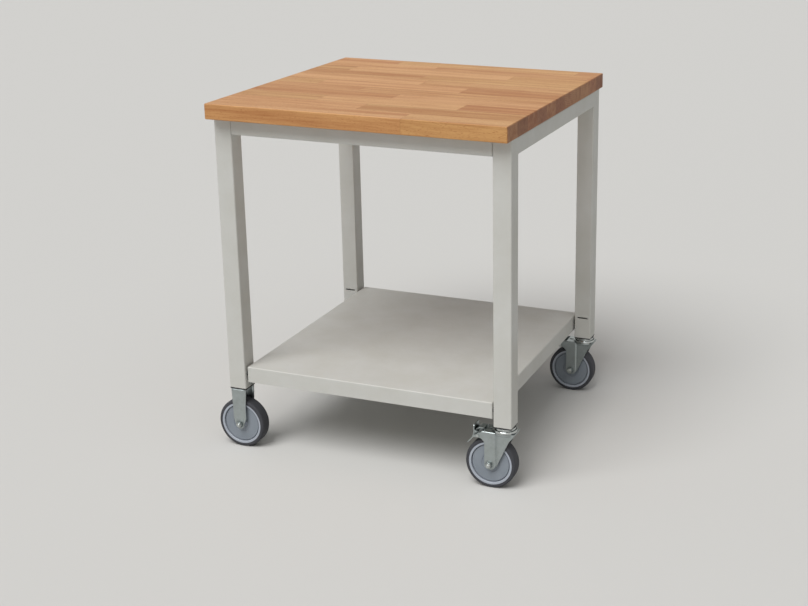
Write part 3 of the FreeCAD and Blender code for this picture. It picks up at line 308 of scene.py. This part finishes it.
def face_colour(tree, sizes, chance, late_wood, grain, glue):
    """Colour of the planed face, from each stave's own tone down to its flecks."""
    # How dark each spot is: the bands, the stave's own tone and the rings, then streaks and fibres.
    tone = add(tree, "MapRange", values={"From Min": 0.3, "From Max": 0.7, "To Min": -0.24, "To Max": 0.46},
               links={"Value": grain["bands"]})
    for source, strength in ((chance.outputs["Green"], 0.64), (late_wood, 0.14)):
        tone = add(tree, "Math", {"operation": "MULTIPLY_ADD"}, {1: strength},
                   {0: source, 2: tone.outputs[0]})
    for name, strength in (("streaks", 1.2), ("fibres", 0.8)):
        centred = add(tree, "Math", {"operation": "SUBTRACT"}, {1: 0.5}, {0: grain[name]})
        tone = add(tree, "Math", {"operation": "MULTIPLY_ADD"}, {1: strength},
                   {0: centred.outputs[0], 2: tone.outputs[0]})
    wood = add(tree, "Mix", BLEND, {"A": sizes.light_stave, "B": sizes.dark_stave},
               {"Factor": tone.outputs[0]})
    # Some staves lean to pink, others to yellow.
    lean = add(tree, "Mix", BLEND, {"A": linear("#FFF3EC"), "B": linear("#F9F6E6")},
               {"Factor": chance.outputs["Red"]})
    wood = add(tree, "Mix", TINT, {"Factor": 1.0}, {"A": wood.outputs["Result"], "B": lean.outputs["Result"]})
    flecks = add(tree, "MapRange", values={"From Min": 0.62, "From Max": 0.74},
                 links={"Value": grain["flecks"]})
    for amount, tint in ((flecks.outputs[0], "#C79A76"), (glue, "#A98662")):
        wood = add(tree, "Mix", TINT, {"B": linear(tint)}, {"Factor": amount, "A": wood.outputs["Result"]})
    return wood.outputs["Result"]


def edge_and_end_colour(tree, sizes, normal, chance, late_wood, face):
    """The long edges are more golden than the face, and the end grain is dark with crisp rings."""
    facing = add(tree, "VectorMath", {"operation": "ABSOLUTE"}, links={0: normal})
    facing = add(tree, "SeparateXYZ", links={"Vector": facing.outputs[0]})
    edge = add(tree, "Mix", TINT, {"B": sizes.edge_tint}, {"Factor": facing.outputs["Y"], "A": face})
    crisp = add(tree, "Mix", TINT, {"B": linear("#BDA48E")},
                {"Factor": late_wood, "A": edge.outputs["Result"]})
    # The blocks of end grain differ, because each stave drinks its own share of the oil.
    block = add(tree, "Mix", BLEND, {"A": sizes.end_tint, "B": linear("#E6D8D0")},
                {"Factor": chance.outputs["Blue"]})
    end = add(tree, "Mix", TINT, {"Factor": 1.0},
              {"A": crisp.outputs["Result"], "B": block.outputs["Result"]})
    whole = add(tree, "Mix", BLEND, links={"Factor": facing.outputs["X"], "A": edge.outputs["Result"],
                                           "B": end.outputs["Result"]})
    return whole.outputs["Result"]


def beech(sizes):
    """Beech staves, planed and oiled: satin, warm, with growth rings and short dark flecks."""
    material, tree = new_material("beech staves, oiled")
    coord = add(tree, "TexCoord")
    spot = coord.outputs["Object"]
    place = add(tree, "SeparateXYZ", links={"Vector": spot})
    stave, glue = stave_cells(tree, sizes, place)
    chance = add(tree, "SeparateColor", links={"Color": stave})
    late_wood = growth_rings(tree, sizes, spot, place, chance)
    grain = grain_patterns(tree, sizes, spot, stave)
    face = face_colour(tree, sizes, chance, late_wood, grain, glue)
    colour = edge_and_end_colour(tree, sizes, coord.outputs["Normal"], chance, late_wood, face)
    sheen = add(tree, "MapRange", values={"To Min": 0.50, "To Max": 0.64}, links={"Value": grain["bands"]})
    relief = add(tree, "Bump", values={"Strength": 0.25, "Distance": 0.0002},
                 links={"Height": grain["fibres"]})
    return shade(material, {"IOR": 1.5}, {
        "Base Color": colour, "Roughness": sheen.outputs[0], "Normal": relief.outputs[0]})


# ---------------------------------------------------------------- coat, zinc, plastics and paint

def powder_coat(sizes):
    """Polyester powder coat, baked: even light grey, satin, with a soft orange-peel skin."""
    material, tree = new_material("polyester powder coat, light grey")
    spot = add(tree, "TexCoord").outputs["Object"]
    # Real orange peel is about 1.5 mm across. It is drawn coarser, so that it shows.
    peel = add(tree, "TexNoise", values={"Scale": 1 / sizes.peel, "Detail": 1.0}, links={"Vector": spot})
    dust = add(tree, "TexNoise", values={"Scale": 1 / sizes.dust, "Detail": 5.0, "Roughness": 0.65},
               links={"Vector": spot})
    amount = add(tree, "MapRange", values={"From Min": 0.3, "From Max": 0.75},
                 links={"Value": dust.outputs["Fac"]})
    dusty = add(tree, "Mix", TINT, {"A": sizes.coat, "B": linear("#F4F3EF")}, {"Factor": amount.outputs[0]})
    gloss = add(tree, "MapRange", values={"To Min": 0.40, "To Max": 0.58},
                links={"Value": dust.outputs["Fac"]})
    relief = add(tree, "Bump", values={"Strength": 0.12, "Distance": 0.0003},
                 links={"Height": peel.outputs["Fac"]})
    return shade(material, {"IOR": 1.5}, {
        "Base Color": dusty.outputs["Result"], "Roughness": gloss.outputs[0], "Normal": relief.outputs[0]})


def zinc_plate(sizes, name, colour, crease, smooth, rough):
    """Steel, pressed or turned, then bright zinc plated: cool metal with dull clouds, and painted shade in
    its creases.
    """
    material, tree = new_material(name)
    spot = add(tree, "TexCoord").outputs["Object"]
    clouds = add(tree, "TexNoise", values={"Scale": 1 / sizes.cloud, "Detail": 4.0, "Roughness": 0.6},
                 links={"Vector": spot})
    clouded = add(tree, "Mix", TINT, {"A": colour, "B": linear("#D6D7D2")}, {"Factor": clouds.outputs["Fac"]})
    # Painted shade: the creases and the gaps between pieces are darkened towards dark grey wherever ambient
    # occlusion finds them hemmed in.
    openness = add(tree, "AmbientOcclusion", {"samples": 4}, {"Distance": crease})
    painted_shade = add(tree, "MapRange", values={"From Min": 0.35, "From Max": 0.95, "To Min": 1.0, "To Max": 0.0},
                links={"Value": openness.outputs["AO"]})
    zinc_with_painted_shade = add(tree, "Mix", TINT, {"B": linear("#5E6468")},
                {"Factor": painted_shade.outputs[0], "A": clouded.outputs["Result"]})
    gloss = add(tree, "MapRange", links={"Value": clouds.outputs["Fac"]},
                values={"From Min": 0.25, "From Max": 0.75, "To Min": smooth, "To Max": rough})
    # Real rolling marks are 0.05 to 0.2 mm wide. They are drawn coarser, so that they show.
    marks = add(tree, "TexNoise", values={"Scale": 1 / sizes.mark, "Detail": 1.0}, links={"Vector": spot})
    edge = add(tree, "Bevel", {"samples": 4}, {"Radius": sizes.rounding})
    relief = add(tree, "Bump", values={"Strength": 0.06, "Distance": 0.0001},
                 links={"Height": marks.outputs["Fac"], "Normal": edge.outputs["Normal"]})
    return shade(material, {"Metallic": 1.0}, {
        "Base Color": zinc_with_painted_shade.outputs["Result"], "Roughness": gloss.outputs[0], "Normal": relief.outputs[0]})


def moulded(sizes, name, colour, swirl, roughness, ior):
    """Injection-moulded plastic or rubber: dull, with the mould's fine grain and slight colour flow."""
    material, tree = new_material(name)
    spot = add(tree, "TexCoord").outputs["Object"]
    flow = add(tree, "TexNoise", values={"Scale": 1 / sizes.flow, "Detail": 4.0}, links={"Vector": spot})
    tint = add(tree, "Mix", TINT, {"A": colour, "B": linear(swirl)}, {"Factor": flow.outputs["Fac"]})
    spread = 0.08
    dull = add(tree, "MapRange", values={"To Min": roughness - spread, "To Max": roughness + spread},
               links={"Value": flow.outputs["Fac"]})
    # Real mould grain is a few tenths of a millimetre. It is drawn coarser, so that it shows.
    grain = add(tree, "TexNoise", values={"Scale": 1 / sizes.grain, "Detail": 2.0}, links={"Vector": spot})
    relief = add(tree, "Bump", values={"Strength": 0.15, "Distance": 0.0002},
                 links={"Height": grain.outputs["Fac"]})
    return shade(material, {"IOR": ior}, {
        "Base Color": tint.outputs["Result"], "Roughness": dull.outputs[0], "Normal": relief.outputs[0]})


def floor_paint(stage):
    """Floor, painted pale: matt, so that it takes the shadow and mirrors almost nothing."""
    material, tree = new_material("painted floor, pale")
    return shade(material, {"Base Color": stage.floor, "Roughness": 0.9, "IOR": 1.45,
                            "Specular IOR Level": 0.2})


# ---------------------------------------------------------------- stage

def lay_floor(scene, stage):
    """One flat square under the wheels, wide enough for every view."""
    half = 60.0
    mesh = bpy.data.meshes.new("studio_floor")
    mesh.from_pydata([(-half, -half, 0), (half, -half, 0), (half, half, 0), (-half, half, 0)], [],
                     [(0, 1, 2, 3)])
    mesh.materials.append(floor_paint(stage))
    floor = bpy.data.objects.new("studio_floor", mesh)
    scene.collection.objects.link(floor)


def hang_lamps(scene, stage):
    """Two broad suns: the key light from the front left, and a softer one from above."""
    for name, energy, angle, from_point in (("key_light", stage.key, 40, (-0.16, -0.56, 0.86)),
                                            ("top_light", stage.top, 60, (0.3, -0.4, 1.0))):
        sun = bpy.data.lights.new(name, "SUN")
        sun.energy = energy
        sun.angle = math.radians(angle)
        lamp = bpy.data.objects.new(name, sun)
        lamp.rotation_euler = Vector(from_point).to_track_quat("Z", "Y").to_euler()
        scene.collection.objects.link(lamp)


def light_sky(scene, stage):
    """A sky that lights more from one side, and that the camera, metal and glass see as a plain backdrop."""
    world = bpy.data.worlds.new("studio_sky")
    world.use_nodes = True
    sky = world.node_tree
    sky.nodes.clear()
    ray = add(sky, "LightPath")
    seen = ray.outputs["Is Camera Ray"]
    for kind in ("Is Glossy Ray", "Is Transmission Ray"):
        seen = add(sky, "Math", {"operation": "MAXIMUM"}, links={0: seen, 1: ray.outputs[kind]}).outputs[0]
    colour = add(sky, "Mix", BLEND, {"A": (stage.sky,) * 3 + (1.0,), "B": stage.backdrop}, {"Factor": seen})
    # The light is strongest from the front left and weakest from the back right.
    brightest_side, weakest, strongest = (-0.57, -0.66, 0.49), 0.45, 1.55
    aim = add(sky, "TexCoord")
    side = add(sky, "VectorMath", {"operation": "DOT_PRODUCT"}, {1: brightest_side},
               {0: aim.outputs["Generated"]})
    side = add(sky, "MapRange", values={"From Min": -1.0, "To Min": weakest, "To Max": strongest},
               links={"Value": side.outputs["Value"]})
    strength = add(sky, "Mix", values={"B": 1.0}, links={"Factor": seen, "A": side.outputs[0]})
    light = add(sky, "Background", links={"Color": colour.outputs["Result"],
                                          "Strength": strength.outputs["Result"]})
    add(sky, "OutputWorld", links={"Surface": light.outputs[0]})
    scene.world = world


def set_camera(scene, stage):
    """Camera at eye height, in front of the table and to its right."""
    eye = (1.3779, -3.0432, 1.4840)
    turn, down, roll = (math.radians(degrees) for degrees in (19.567, 16.364, 0.172))
    view = bpy.data.cameras.new("studio_camera")
    view.lens = stage.lens
    view.sensor_width = 36
    view.shift_x = -0.1460
    view.shift_y = -0.0875
    view.clip_end = 200
    camera = bpy.data.objects.new("studio_camera", view)
    camera.matrix_world = (Matrix.Translation(eye) @ Matrix.Rotation(turn, 4, "Z")
                           @ Matrix.Rotation(math.radians(90) - down, 4, "X") @ Matrix.Rotation(roll, 4, "Z"))
    scene.collection.objects.link(camera)
    scene.camera = camera


# ---------------------------------------------------------------- operators

class FinishWorktop(Operator):
    """Oil the beech worktop"""
    bl_idname = "assembly_table.finish_worktop"
    bl_label = "Finish the worktop"

    def execute(self, context):
        finish(beech(context.scene.worktop_settings), "worktop")
        return {"FINISHED"}


class FinishFrame(Operator):
    """Powder-coat the legs, rails, brackets and shelf"""
    bl_idname = "assembly_table.finish_frame"
    bl_label = "Finish the frame"

    def execute(self, context):
        finish(powder_coat(context.scene.metal_settings), "side_rail_left", "side_rail_right", "front_rail",
               "rear_rail", "rail_stubs", "worktop_brackets", "shelf",
               *[f"leg_{corner}" for corner in CORNERS])
        return {"FINISHED"}


class FinishFasteners(Operator):
    """Zinc-plate the screws, bolts, nuts and pins"""
    bl_idname = "assembly_table.finish_fasteners"
    bl_label = "Finish the fasteners"

    def execute(self, context):
        sizes = context.scene.metal_settings
        # Painted shade on the fasteners reaches a quarter as far, so the nuts beside the forks stay light.
        zinc = zinc_plate(sizes, "steel fasteners, bright zinc plated", sizes.bright, sizes.crease / 4,
                          smooth=0.28, rough=0.44)
        names = ["rail_screws", "worktop_screws", "shelf_bolts", "leg_rivet_nuts", "insert_nuts",
                 "insert_screws", "swivel_caster_bolts", "rigid_caster_bolts", "rigid_axle_bolts",
                 "rigid_axle_nuts", "rigid_axle_sleeves"]
        for corner in SWIVELS:
            names += [f"{kind}_{corner}" for kind in ("axle_bolt", "axle_nut", "axle_sleeve", "pedal_pin")]
        finish(zinc, *names)
        return {"FINISHED"}


class FinishCasterForks(Operator):
    """Zinc-plate the pressed forks, races and pedals"""
    bl_idname = "assembly_table.finish_caster_forks"
    bl_label = "Finish the caster forks"

    def execute(self, context):
        sizes = context.scene.metal_settings
        # Painted shade reaches the full crease distance on the pressed forks and pedals.
        pressed = zinc_plate(sizes, "steel sheet, pressed and zinc plated", sizes.zinc, sizes.crease,
                             smooth=0.26, rough=0.44)
        finish(pressed, "rigid_fork_front_left", "rigid_fork_rear_left",
               *[f"{kind}_{corner}" for kind in ("swivel_fork", "brake_pedal") for corner in SWIVELS])
        # Painted shade reaches half as far on the turned races.
        turned = zinc_plate(sizes, "steel races, turned and bright plated", sizes.bright, sizes.crease / 2,
                            smooth=0.12, rough=0.24)
        finish(turned, "swivel_top_races",
               *[f"{kind}_{corner}" for kind in ("lower_race", "race_balls") for corner in SWIVELS])
        return {"FINISHED"}


class FinishPlastics(Operator):
    """Mould the tyres, wheel centres, bushes, spacers and leg inserts"""
    bl_idname = "assembly_table.finish_plastics"
    bl_label = "Finish the plastics"

    def execute(self, context):
        sizes = context.scene.plastic_settings
        for kind, name, colour, swirl, roughness, ior in (
                ("tyre", "thermoplastic rubber, grey, moulded", sizes.tyre, "#D8D8DA", 0.78, 1.52),
                ("rim", "polypropylene, light grey, moulded", sizes.rim, "#E6E7E9", 0.42, 1.49),
                ("thread_guards", "polypropylene, blue-grey, moulded", sizes.guard, "#DDE0E3", 0.50, 1.49),
                ("hub_bush", "nylon, natural, moulded", sizes.bush, "#F0EFEA", 0.45, 1.53)):
            plastic = moulded(sizes, name, colour, swirl, roughness, ior)
            finish(plastic, *[f"{kind}_{corner}" for corner in CORNERS])
        black = moulded(sizes, "nylon, black, moulded", sizes.insert, "#D0D0D0", roughness=0.50, ior=1.53)
        finish(black, "leg_inserts", "shelf_spacers")
        return {"FINISHED"}


class FillWelds(Operator):
    """Fill and grind the weld seams between the legs and the side rails"""
    bl_idname = "assembly_table.fill_welds"
    bl_label = "Fill the welds"

    def execute(self, context):
        coat = NODES["side_rail_left"].data.materials[0]
        radius = context.scene.metal_settings.weld_radius
        arc_steps = 8
        for side, faces in (("left", ("outer", "inner")), ("right", ("inner", "outer"))):
            low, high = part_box(f"side_rail_{side}")
            for end, rail_end, inward in (("front", low.y, 1), ("rear", high.y, -1)):
                for face, edge, outward in zip(faces, (low.x, high.x), (-1, 1)):
                    # Between the leg's round corner, the rail's end and the plane of their faces.
                    outline = [(edge, rail_end)]
                    for step in range(arc_steps + 1):
                        angle = math.radians(90 * step / arc_steps)
                        outline.append((edge + outward * radius * (math.cos(angle) - 1),
                                        rail_end + inward * radius * (math.sin(angle) - 1)))

                    def seam(shape):
                        prism(shape, outline, low.z + radius, high.z - radius)

                    new_piece(f"weld_{end}_{side}_{face}", seam, coat, "frame")
        return {"FINISHED"}


class AddLockRings(Operator):
    """Crimp a steel collar and its nylon ring on each axle nut"""
    bl_idname = "assembly_table.add_lock_rings"
    bl_label = "Add the lock rings"

    def execute(self, context):
        steel = NODES["rigid_axle_nuts"].data.materials[0]
        nylon = NODES["hub_bush_front_left"].data.materials[0]
        sizes = context.scene.lock_ring_settings
        bolt, inner, outer = sizes.bolt_radius, sizes.ring_radius, sizes.collar_radius
        height = sizes.collar_height
        ring_height = height * sizes.ring_share
        collar = [(inner, 0), (outer, 0), (outer, height / 2), (sizes.crimp_radius, height), (inner, height)]
        ring = [(bolt, 0), (inner, 0), (inner, ring_height), (bolt, ring_height)]
        # On all four wheels the nut is at the front, and its face is as far from the wheel's middle.
        low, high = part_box("tyre_front_right")
        nut_face = (low.y + high.y) / 2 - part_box("axle_nut_front_right")[0].y
        for corner in CORNERS:
            low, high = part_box(f"tyre_{corner}")
            seat = (low + high) / 2 - Vector((0, nut_face, 0))
            place = Matrix.Translation(seat) @ Matrix.Rotation(math.radians(90), 4, "X")
            body = f"swivel_{corner}" if corner in SWIVELS else "frame"
            for name, profile, material, slot in (("lock_collar", collar, steel, "zinc_plated_steel"),
                                                  ("lock_ring", ring, nylon, "white_nylon")):
                new_piece(f"{name}_{corner}", lambda shape: revolve(shape, profile, place), material,
                          body)
        return {"FINISHED"}


class BuildStage(Operator):
    """Lay the floor and set the lamps, the sky and the camera"""
    bl_idname = "assembly_table.build_stage"
    bl_label = "Build the stage"

    def execute(self, context):
        scene = context.scene
        for build in (lay_floor, hang_lamps, light_sky, set_camera):
            build(scene, scene.stage_settings)
        scene.view_settings.view_transform = "Standard"
        return {"FINISHED"}


class AssemblyTablePanel(Panel):
    """Lists the steps and their sizes"""
    bl_idname = "VIEW3D_PT_assembly_table"
    bl_label = "Assembly Table"
    bl_space_type = "VIEW_3D"
    bl_region_type = "UI"
    bl_category = "Assembly Table"

    def draw(self, context):
        for operator in OPERATORS:
            self.layout.operator(operator.bl_idname)
        for name, group in SETTINGS.items():
            box = self.layout.box()
            for prop in group.__annotations__:
                box.prop(getattr(context.scene, name), prop)


SETTINGS = {"worktop_settings": WorktopSettings, "metal_settings": MetalSettings,
            "lock_ring_settings": LockRingSettings, "plastic_settings": PlasticSettings,
            "stage_settings": StageSettings}
OPERATORS = (FinishWorktop, FinishFrame, FinishFasteners, FinishCasterForks, FinishPlastics, FillWelds,
             AddLockRings, BuildStage)


def register():
    for name, group in SETTINGS.items():
        bpy.utils.register_class(group)
        setattr(bpy.types.Scene, name, PointerProperty(type=group))
    for item in (*OPERATORS, AssemblyTablePanel):
        bpy.utils.register_class(item)


def unregister():
    for item in reversed((*OPERATORS, AssemblyTablePanel)):
        bpy.utils.unregister_class(item)
    for name, group in reversed(SETTINGS.items()):
        delattr(bpy.types.Scene, name)
        bpy.utils.unregister_class(group)


def main():
    register()
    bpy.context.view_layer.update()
    for operator in OPERATORS:
        area, name = operator.bl_idname.split(".")
        getattr(getattr(bpy.ops, area), name)()


if __name__ == "__main__":
    main()
